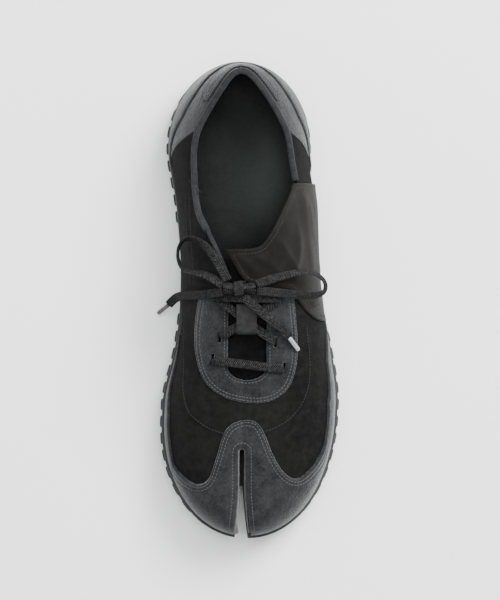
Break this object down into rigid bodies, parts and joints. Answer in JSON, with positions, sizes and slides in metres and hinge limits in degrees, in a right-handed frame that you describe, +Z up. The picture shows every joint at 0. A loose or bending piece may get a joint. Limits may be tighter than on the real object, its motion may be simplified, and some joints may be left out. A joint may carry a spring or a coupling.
{
  "type": "tabi sneaker",
  "caption": "Low black sneaker with a split toe, suede overlays on nylon, a wrap panel over the instep, flat laces in a bow and a lugged rubber sole.",
  "frame": {"origin": "middle of the sole's box, on the floor", "axes": "toes along -Y, heel along +Y, outer side of the left foot along +X, up along +Z"},
  "size_m": [0.1138, 0.2949, 0.0899],
  "materials": {
    "sole_rubber": "black moulded rubber, semi-matte",
    "nylon": "black woven nylon, matte",
    "suede": "charcoal suede with a short nap",
    "binding_suede": "grey suede rolled edge",
    "insole_leather": "dark grey smooth leather, slight sheen",
    "tongue_cloth": "dark grey cloth",
    "flap_cloth": "thin smooth black cloth with a brown cast",
    "lace": "flat woven lace, black",
    "webbing": "grey woven webbing",
    "aglet_dark": "black film tip",
    "aglet_pale": "clear pale film tip"
  },
  "bodies": {
    "root": {"outsole": "sole_rubber", "upper": "nylon", "insole": "insole_leather", "tongue": "tongue_cloth", "toe_cap": "suede", "eyestay": "suede", "heel_counter": "suede", "heel_tab": "suede", "collar_binding": "binding_suede", "wrap_flap": "flap_cloth", "lace_bar_low": "lace", "lace_crossing": "lace", "tongue_keeper": "webbing", "lace_knot": "lace", "lace_loop_medial": "lace", "lace_loop_lateral": "lace", "lace_end_medial": "lace", "lace_end_lateral": "lace", "aglet_medial": "aglet_dark", "aglet_lateral": "aglet_pale"}
  },
  "joints": []
}
